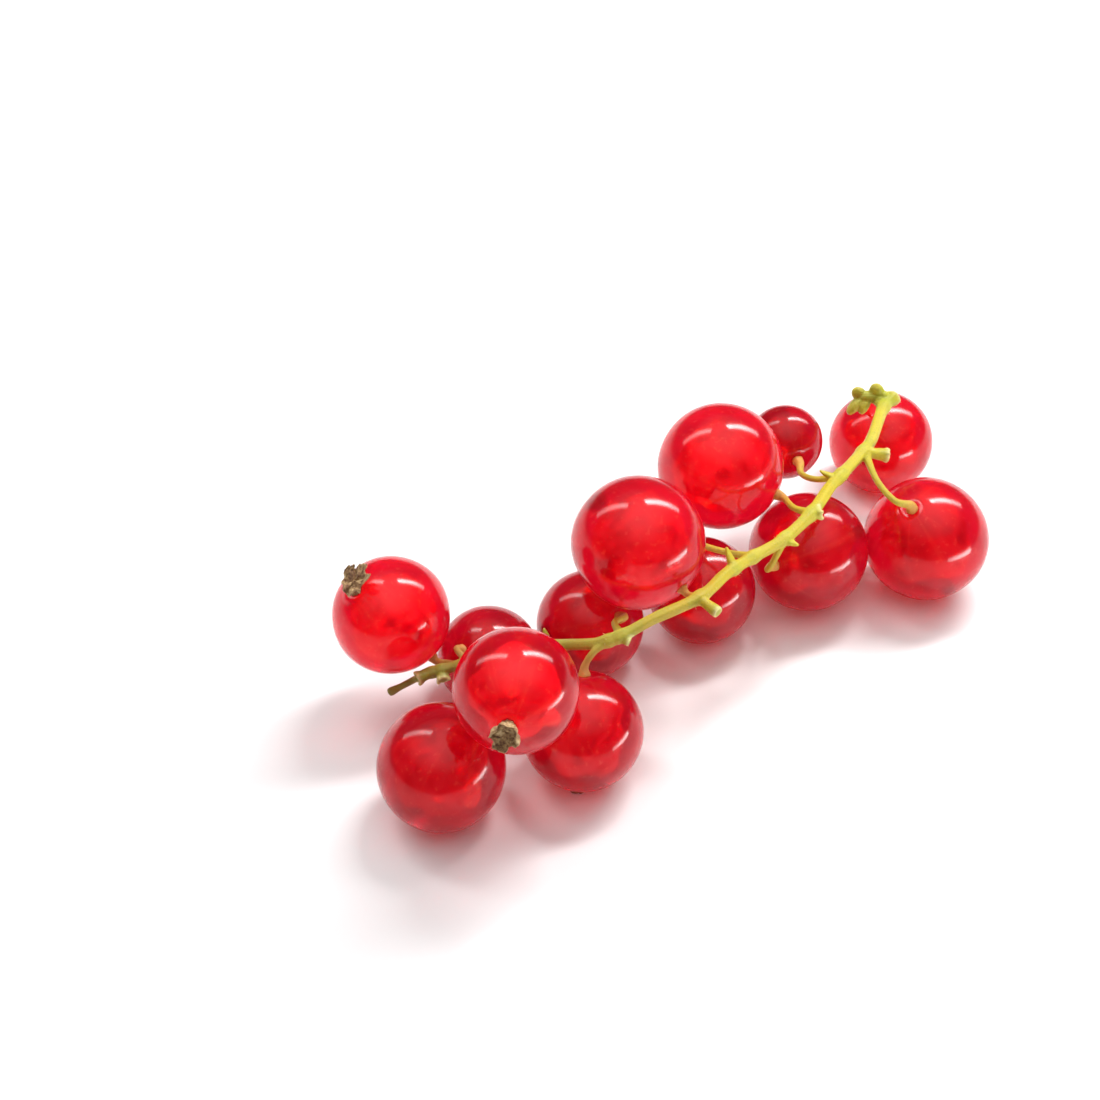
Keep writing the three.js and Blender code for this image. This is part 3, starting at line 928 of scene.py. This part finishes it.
for along, heading_rise, length, radius, curl, flat in BROKEN_SCALES:
    place = broken_line[round(along * (len(broken_line) - 1))]
    direction = facing(heading_rise)
    shells.bud(place, direction, length, radius, BROKEN_SCALE_SHAPE, curl=curl, flat=flat)
shells.tube(bare_line, radii_along(bare_line, [0, 0.25, 0.7, 0.93, 1], [0.4, 0.27, 0.26, 0.35, 0.3]))
print(len(shells.faces), "faces in the tubes")

# %% [markdown]
# The tubes still cross one another at the joints. A voxel remesh turns them into one skin, and a few rounds
# of smoothing make the corners between them into soft fillets, as where a shoot grows out of its stem. The
# cells are about a seventh of the stem's radius, small enough to keep the ridges.

# %% Fuse the tubes into one growth
STEM_VOXEL = 0.075 * MM
stem_source = mesh_object("stem_tubes", np.array(shells.points) * MM, shells.faces)
fuse = stem_source.modifiers.new("fuse", "REMESH")
fuse.mode = "VOXEL"
fuse.voxel_size = STEM_VOXEL
fuse.use_smooth_shade = True
soften = stem_source.modifiers.new("soften", "SMOOTH")
soften.factor = 0.5
soften.iterations = 3
stem = baked(stem_source, "stem")
print("stem has", len(stem.data.polygons), "faces")

# %% [markdown]
# The stem changes colour along its way: yellow-green by the cut end, ochre and olive towards the tip, and
# darker at the tip, which lies low by the table; this last darkening is painted shade. It is pinkish orange
# where a stalk widens into its berry, and green at the stubs, with pale torn rims. These need places on the
# growth, so each point of the fused mesh stores how far along the stem it is, and how near to a joint, a stub,
# a rim or a berry.
# It also stores its fibre, a vector that turns round the stem but hardly changes along it, so noise drawn with
# it runs in long streaks.

# %% Numbers on the stem
FIBRE_DRIFT = 0.06
CUT_STEPS = 6
CUT_RADIUS = 0.66
RIM_DEPTH = 0.2
BROKEN_SHARE = 0.45
BERRY_END_REACH = 1.5
JOINT_REACH = 1.0
STUB_REACH = 0.55
STEM_REACH = 0.8

stem_spots = points_of(stem.data) / MM


def nearest(points, line):
    """For each point, the least distance to a line and the index of the nearest step."""
    best = np.full(len(points), 1e9)
    index = np.zeros(len(points), int)
    for begin in range(0, len(line), 64):
        gaps = np.linalg.norm(points[:, None] - line[None, begin:begin + 64], axis=2)
        low = gaps.min(1)
        better = low < best
        best[better] = low[better]
        index[better] = begin + gaps.argmin(1)[better]
    return best, index


stalk_steps = [line[::3] for line, _ in stalk_lines]
grown = np.concatenate([stem_points[::3], *stalk_steps, broken_line, bare_line])
_, grown_step = nearest(stem_spots, grown)
fibre = unit(stem_spots - grown[grown_step] + 1e-6) + FIBRE_DRIFT * stem_spots
store_vectors(stem.data, "fibre", fibre)

coarse = stem_points[::4]
stem_gap, stem_step = nearest(stem_spots, coarse)
along_stem = stem_lengths[::4][stem_step] / stem_lengths[-1]
end_gap = np.min([np.linalg.norm(stem_spots - line[-1], axis=1) for line, _ in stalk_lines], axis=0)
joint_gap = np.min([np.linalg.norm(stem_spots - on_stem(joint), axis=1) for joint in stem_joints], axis=0)
stub_gap = np.full(len(stem_spots), 1e9)
rim = np.zeros(len(stem_spots))
cuts = [(on_stem(joint), np.array(facing(d)), length, radius) for joint, d, length, radius, _ in STUBS]
cut_foot = stem_points[CUT_STEPS]
cuts.append((cut_foot, unit(stem_points[0] - cut_foot), CUT_STEPS * STEM_STEP, CUT_RADIUS))
for start, direction, length, radius in cuts:
    offset = stem_spots - start
    forward = offset @ direction
    outward = np.linalg.norm(offset - forward[:, None] * direction, axis=1)
    stub_gap = np.minimum(stub_gap, np.linalg.norm(offset - direction * length, axis=1))
    at_end = np.exp(-((forward - length) / RIM_DEPTH) ** 2) * (outward < 1.6 * radius)
    rim = np.maximum(rim, at_end * np.clip((outward / radius - 0.55) / 0.25, 0, 1))
broken_gap, _ = nearest(stem_spots, broken_line[3:])
stub_gap = np.minimum(stub_gap, BROKEN_SHARE * broken_gap)
store(stem.data, "rim", rim)
store(stem.data, "along", along_stem)
store(stem.data, "berry_end", np.exp(-(end_gap / BERRY_END_REACH) ** 2))
store(stem.data, "joint", np.exp(-(joint_gap / JOINT_REACH) ** 2))
store(stem.data, "stub", np.exp(-(stub_gap / STUB_REACH) ** 2))
store(stem.data, "off_stem", np.clip((stem_gap - STEM_REACH) / 1.5, 0, 1))
print("numbers kept on the stem:", [layer.name for layer in stem.data.attributes if layer.name[0] != "."])

# %% [markdown]
# Fine hairs stand on the joints and on the feet of the stalks. They follow the surface by a rule, so one
# Geometry Nodes tree scatters thin cones over the stem, closer together where the joint number is high, and
# stands each along the surface's own direction with a little lean.

# %% Hairs by Geometry Nodes
HAIR_DENSITY = 2.5 / (MM * MM)
HAIR_LENGTH = 0.28 * MM
HAIR_THICKNESS = 0.03 * MM

hair_sheet = Sheet("stem_hair")
hair_tint = hair_sheet.noise(1.5 * MM)
hair_sheet.set(
    base_color=hair_sheet.mix(hair_tint, srgb("#e8e6a0"), srgb("#dcc888")),
    roughness=0.5,
)
hair_tree, hair_in, hair_out = tree_with("hairs_on_the_joints", {
    "Density": "NodeSocketFloat",
    "Length": "NodeSocketFloat",
    "Thickness": "NodeSocketFloat",
    "Seed": "NodeSocketInt",
})
hair_where = add_node(hair_tree, "GeometryNodeInputNamedAttribute", {"data_type": "FLOAT"}, {"Name": "joint"})
hair_power = add_node(hair_tree, "ShaderNodeMath", {"operation": "POWER"}, {
    0: hair_where.outputs["Attribute"], 1: 1.5,
})
hair_density = add_node(hair_tree, "ShaderNodeMath", {"operation": "MULTIPLY"}, {
    0: hair_power.outputs[0], 1: hair_in.outputs["Density"],
})
hair_points = add_node(hair_tree, "GeometryNodeDistributePointsOnFaces", None, {
    "Mesh": hair_in.outputs["Geometry"], "Density": hair_density.outputs[0], "Seed": hair_in.outputs["Seed"],
})
hair_cone = add_node(hair_tree, "GeometryNodeMeshCone", None, {
    "Vertices": 4, "Radius Top": 0.15, "Radius Bottom": 0.5, "Depth": 1.0,
})
hair_lean = add_node(hair_tree, "FunctionNodeRandomValue", {"data_type": "FLOAT_VECTOR"}, {
    0: (-0.6, -0.6, 0), 1: (0.6, 0.6, 6.28), 8: hair_in.outputs["Seed"],
})
hair_turn = add_node(hair_tree, "FunctionNodeRotateRotation", {"rotation_space": "LOCAL"}, {
    0: hair_points.outputs["Rotation"], 1: hair_lean.outputs[0],
})
hair_long = add_node(hair_tree, "FunctionNodeRandomValue", {"data_type": "FLOAT"}, {
    2: 0.45, 3: 1.0, 8: hair_in.outputs["Seed"],
})
hair_length = add_node(hair_tree, "ShaderNodeMath", {"operation": "MULTIPLY"}, {
    0: hair_long.outputs[1], 1: hair_in.outputs["Length"],
})
hair_size = add_node(hair_tree, "ShaderNodeCombineXYZ", None, {
    0: hair_in.outputs["Thickness"], 1: hair_in.outputs["Thickness"], 2: hair_length.outputs[0],
})
hair_copies = add_node(hair_tree, "GeometryNodeInstanceOnPoints", None, {
    "Points": hair_points.outputs["Points"],
    "Instance": hair_cone.outputs["Mesh"],
    "Rotation": hair_turn.outputs[0],
    "Scale": hair_size.outputs[0],
})
hair_real = add_node(hair_tree, "GeometryNodeRealizeInstances", None, {0: hair_copies.outputs[0]})
hair_finish = add_node(hair_tree, "GeometryNodeSetMaterial", None, {
    "Geometry": hair_real.outputs[0], "Material": hair_sheet.material,
})
hair_tree.links.new(hair_finish.outputs[0], hair_out.inputs[0])

hair_holder = bpy.data.objects.new("hair_holder", stem.data.copy())
bpy.context.scene.collection.objects.link(hair_holder)
with_inputs(hair_holder, hair_tree, {
    "Density": HAIR_DENSITY, "Length": HAIR_LENGTH, "Thickness": HAIR_THICKNESS, "Seed": 4,
})
hairs = baked(hair_holder, "hairs")
print(len(hairs.data.polygons), "faces of hairs")

# %% [markdown]
# Skin and flesh are one material, because the light does not stop at the skin. Part of it goes straight
# through the clear jelly and shows the pulp, and the rest is scattered below the surface and comes out
# redder. A little light of its own stands for what the jelly passes on from behind. Faint veins and specks
# of a paler red lie in the skin. Over this is a thin glossy coat, which gives way towards the rim, so the
# rim stays red where plain gloss would turn it white.

# %% Berry skin material
SKIN_LIGHT = srgb("#ea0c2a")
SKIN_DEEP = srgb("#bc0620")
SKIN_RIPE = srgb("#7c0418")
SKIN_CLEARNESS = 0.66
SKIN_GLOW = 0.12


def skin_material():
    sheet = Sheet("redcurrant_skin")
    spoke = sheet.attribute("spoke", "Vector")
    blotch = sheet.noise(3.0 * MM, detail=1.5)
    veins = sheet.noise(0.16, detail=1.0, at=sheet.node("ShaderNodeVectorMath", {"operation": "MULTIPLY"}, {
        0: spoke, 1: (1.0, 1.0, 0.12),
    }))
    speck = sheet.noise(0.45 * MM, detail=2.0)
    patchy = sheet.mix((blotch * 2.4 - 0.75).clamped(), SKIN_DEEP, SKIN_LIGHT)
    colour = sheet.mix(sheet.attribute("ripeness"), patchy, SKIN_RIPE)
    vein_mask = ((veins - 0.56) * 6.0).clamped() * 0.09
    marked = sheet.mix(((speck - 0.6) * 7.0).clamped() * 0.12, colour, srgb("#ff8a70"))
    rim = sheet.node("ShaderNodeLayerWeight", None, {"Blend": 0.5}, output="Facing")
    sheet.set(
        base_color=sheet.mix(vein_mask, marked, srgb("#ff6a50")),
        emission_color=colour,
        emission_strength=SKIN_GLOW,
        roughness=0.18,
        ior=1.2,
        specular_ior_level=0.3,
        subsurface_weight=1.0,
        subsurface_radius=(1.0, 0.12, 0.08),
        subsurface_scale=2.6 * MM,
        transmission_weight=SKIN_CLEARNESS,
        coat_weight=1.0 - rim ** 1.5 * 0.95,
        coat_roughness=0.03,
        coat_ior=1.32,
        normal=sheet.bump(speck, 0.003, 0.3),
    )
    return sheet.material


skin_finish = skin_material()
for skin in skins:
    skin.data.materials.append(skin_finish)
print(skin_finish.name, "is on", len(skins), "skins")

# %% [markdown]
# The stem is waxy and lets a little light in. Its base colour runs along the stored way from the cut end to
# the tip. Over that come the joints, stubs, stalks, torn rims and berry ends, one mix for each stored number,
# then streaks along the fibres and dark pores. The streaks and pores also make the bumps.

# %% Stem material


def stem_material():
    sheet = Sheet("redcurrant_stem")
    along = sheet.attribute("along")
    fibre = sheet.noise(0.9 * MM, detail=3.0)
    strand = sheet.noise(0.2, detail=2.0, at=sheet.attribute("fibre", "Vector"))
    pores = sheet.noise(0.18 * MM, detail=2.0)
    # The last stops darken the tip: partly its own olive, and partly painted shade where the tip lies low.
    tone_and_tip_shade = sheet.ramp(
        along + (fibre - 0.5) * 0.12,
        (0.0, srgb("#dcc832")), (0.35, srgb("#dac42e")), (0.62, srgb("#d0b62c")), (0.8, srgb("#ac982e")),
        (1.0, srgb("#76702a")),
    )
    patchy = sheet.mix((fibre * 3.0 - 1.4).clamped() * 0.6, tone_and_tip_shade, srgb("#b0ba38"))
    with_joints = sheet.mix(sheet.attribute("joint") * 0.35, patchy, srgb("#b4bd3a"))
    with_stubs = sheet.mix(sheet.attribute("stub") * 0.7, with_joints, srgb("#9cb030"))
    with_stalks = sheet.mix(sheet.attribute("off_stem") * 0.3, with_stubs, srgb("#b8a240"))
    with_rims = sheet.mix(sheet.attribute("rim") * 0.7, with_stalks, srgb("#f0e6a8"))
    with_ends = sheet.mix(sheet.attribute("berry_end") * 0.8, with_rims, srgb("#e8985a"))
    streaked = sheet.mix((strand * 4.0 - 2.0).clamped() * 0.32, with_ends, srgb("#8e8a2a"))
    sheet.set(
        base_color=sheet.mix((pores * 4.0 - 2.3).clamped() * 0.4, streaked, srgb("#7f7424")),
        roughness=0.42,
        subsurface_weight=0.25,
        subsurface_radius=(1.0, 0.9, 0.3),
        subsurface_scale=0.35 * MM,
        normal=sheet.bump(pores + strand * 1.5, 0.06, 0.7),
    )
    return sheet.material


stem.data.materials.append(stem_material())
print(stem.data.materials[0].name, "is on the stem")

# %% [markdown]
# A dried flower is dead tissue: matt, brown and straw-coloured. One noise with much detail gives both the
# colour and the crumple, so the dark places are the low ones and the pale places the raised ones. The colour
# is partly the tissue's own brown and straw, and partly painted shade in the hollows and painted highlight on
# the crests.

# %% Dried flower material


def flower_material():
    sheet = Sheet("dried_flower")
    fold_and_painted_light = sheet.noise(0.5 * MM, detail=5.0, roughness=0.65)
    grain = sheet.noise(0.15 * MM, detail=2.0)
    sheet.set(
        # Low places of the crumple come out dark as painted shade, and raised ones pale as partly painted
        # highlight.
        base_color=sheet.ramp(
            fold_and_painted_light + (grain - 0.5) * 0.3,
            (0.3, srgb("#4c3424")), (0.42, srgb("#90684a")), (0.54, srgb("#b89466")), (0.68, srgb("#dabf90")),
        ),
        roughness=0.8,
        normal=sheet.bump(fold_and_painted_light + grain * 0.5, 0.12, 0.8),
    )
    return sheet.material


flower_finish = flower_material()
for flower in flowers:
    flower.data.materials.append(flower_finish)
print(flower_finish.name, "is on", len(flowers), "flowers")

# %% [markdown]
# The table is plain white with a dull shine. It is one square so wide that from this camera its edge is out of
# view. From near the table's height it ends at a far horizon.

# %% Table
FLOOR_REACH = 5.0
floor_corners = [(FLOOR_REACH * x, FLOOR_REACH * y, 0) for x, y in ((-1, -1), (1, -1), (1, 1), (-1, 1))]
floor = mesh_object("floor", floor_corners, [(0, 1, 2, 3)])
floor_sheet = Sheet("white_table")
floor_sheet.set(base_color=(0.93, 0.92, 0.92, 1), roughness=0.55)
floor.data.materials.append(floor_sheet.material)
print("the table reaches", FLOOR_REACH, "m each way")

# %% [markdown]
# The room's light depends only on height. It is bright overhead, which whitens the table, and dim just above
# the horizon, which keeps the berries' sides deep red. One ramp over the direction's height gives both.

# %% Room
ROOM_STRENGTH = 1.06
ROOM_BY_HEIGHT = [
    # height of the direction (0 straight down, 0.5 level, 1 straight up), brightness
    (0.0, 0.9), (0.49, 0.3), (0.53, 0.08), (0.78, 0.1), (0.9, 0.7), (1.0, 1.4),
]

world = bpy.data.worlds.new("room")
world.use_nodes = True
room = world.node_tree
room_direction = add_node(room, "ShaderNodeTexCoord")
room_parts = add_node(room, "ShaderNodeSeparateXYZ", None, {0: room_direction.outputs["Generated"]})
room_height = add_node(room, "ShaderNodeMath", {"operation": "MULTIPLY_ADD"}, {
    0: room_parts.outputs["Z"], 1: 0.5, 2: 0.5,
})
room_ramp = add_node(room, "ShaderNodeValToRGB", None, {0: room_height.outputs[0]})
set_stops(room_ramp.color_ramp, [(place, grey(bright)) for place, bright in ROOM_BY_HEIGHT])
room.links.new(room_ramp.outputs["Color"], room.nodes["Background"].inputs["Color"])
room.nodes["Background"].inputs["Strength"].default_value = ROOM_STRENGTH
bpy.context.scene.world = world
bpy.context.scene.view_settings.view_transform = "Standard"
print("room light in", len(ROOM_BY_HEIGHT), "heights")

# %% [markdown]
# Two long windows, one to the right and one weaker to the left, reach from overhead to behind the sprig and
# draw a bent streak on each berry. A third strip low in front to the right draws the short streak near the
# foot of each berry. Every strip is dimmer towards its long edges, so the streaks fade out softly as those of
# real windows do.

# %% Strip lights
SOFT_EDGE = 0.12


def strip_light(name, first, second, width_mm, radiance, distance_mm, fades):
    """A long soft light whose ends lie in two directions, given in the camera's right, far and up.

    Its brightness runs from end to end through the shares in fades.
    """
    right = Vector((math.sin(VIEW_HEADING), -math.cos(VIEW_HEADING), 0))
    far = Vector((math.cos(VIEW_HEADING), math.sin(VIEW_HEADING), 0))
    up = Vector((0, 0, 1))
    ways = [right * d[0] + far * d[1] + up * d[2] for d in (first, second)]
    ends = [way.normalized() * (distance_mm * MM) for way in ways]
    middle = (ends[0] + ends[1]) / 2
    back = middle.normalized()
    length = ends[1] - ends[0]
    run = (length - back * length.dot(back)).normalized()
    light = bpy.data.lights.new(name, "AREA")
    light.shape = "RECTANGLE"
    light.size = length.length
    light.size_y = width_mm * MM
    light.energy = radiance * math.pi * light.size * light.size_y
    light.use_nodes = True
    glow = light.node_tree
    spot = add_node(glow, "ShaderNodeNewGeometry")
    parts = add_node(glow, "ShaderNodeSeparateXYZ", None, {0: spot.outputs["Parametric"]})
    ramps = []
    for axis, stops in (("X", fades), ("Y", [(0.0, SOFT_EDGE), (0.5, 1.0), (1.0, SOFT_EDGE)])):
        ramp = add_node(glow, "ShaderNodeValToRGB", None, {0: parts.outputs[axis]})
        ramp.color_ramp.interpolation = "EASE"
        set_stops(ramp.color_ramp, [(place, grey(bright)) for place, bright in stops])
        ramps.append(ramp.outputs["Color"])
    both = add_node(glow, "ShaderNodeMix", {"data_type": "RGBA", "blend_type": "MULTIPLY"}, {
        0: 1.0, 6: ramps[0], 7: ramps[1],
    })
    glow.links.new(both.outputs[2], glow.nodes["Emission"].inputs["Color"])
    made = bpy.data.objects.new(name, light)
    made.visible_camera = False
    turn = Matrix((run, back.cross(run), back)).transposed()
    made.matrix_world = Matrix.Translation(middle) @ turn.to_4x4()
    bpy.context.scene.collection.objects.link(made)


STRIPS = [
    # name, first end, second end, width in mm, radiance, distance in mm, fades
    ("window_right", (0.12, 0.367, 0.919), (0.74, 0.45, 0.47), 64, 40, 300,
     [(0.0, 1.0), (0.35, 0.8), (1.0, 0.25)]),
    ("window_left", (-0.28, 0.275, 0.918), (-0.83, 0.375, 0.416), 62, 12, 300,
     [(0.0, 1.0), (1.0, 0.4)]),
    ("window_low", (0.62, -0.78, 0.03), (0.98, -0.20, 0.03), 17, 22, 90,
     [(0.0, 0.4), (0.5, 1.0), (1.0, 1.0)]),
]
for strip in STRIPS:
    strip_light(*strip)
print(len(STRIPS), "strip lights over a white table")

# %% [markdown]
# Every piece rides on the sprig's one body. The skins, flowers and stem stand for the plain solids.

# %% Tie the pieces to the frame
for berry, skin, flower in zip(berries, skins, flowers):
    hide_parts("berry_" + berry["name"])
    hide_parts("calyx_" + berry["name"])
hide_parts("strig_stem")
finishes = [(skins + seeds, "berry"), (flowers, "calyx"), ([stem, hairs], "stem")]
for pieces, slot in finishes:
    for piece in pieces:
        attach(piece, "root")
print(sum(len(pieces) for pieces, _ in finishes), "pieces ride on the sprig's body")
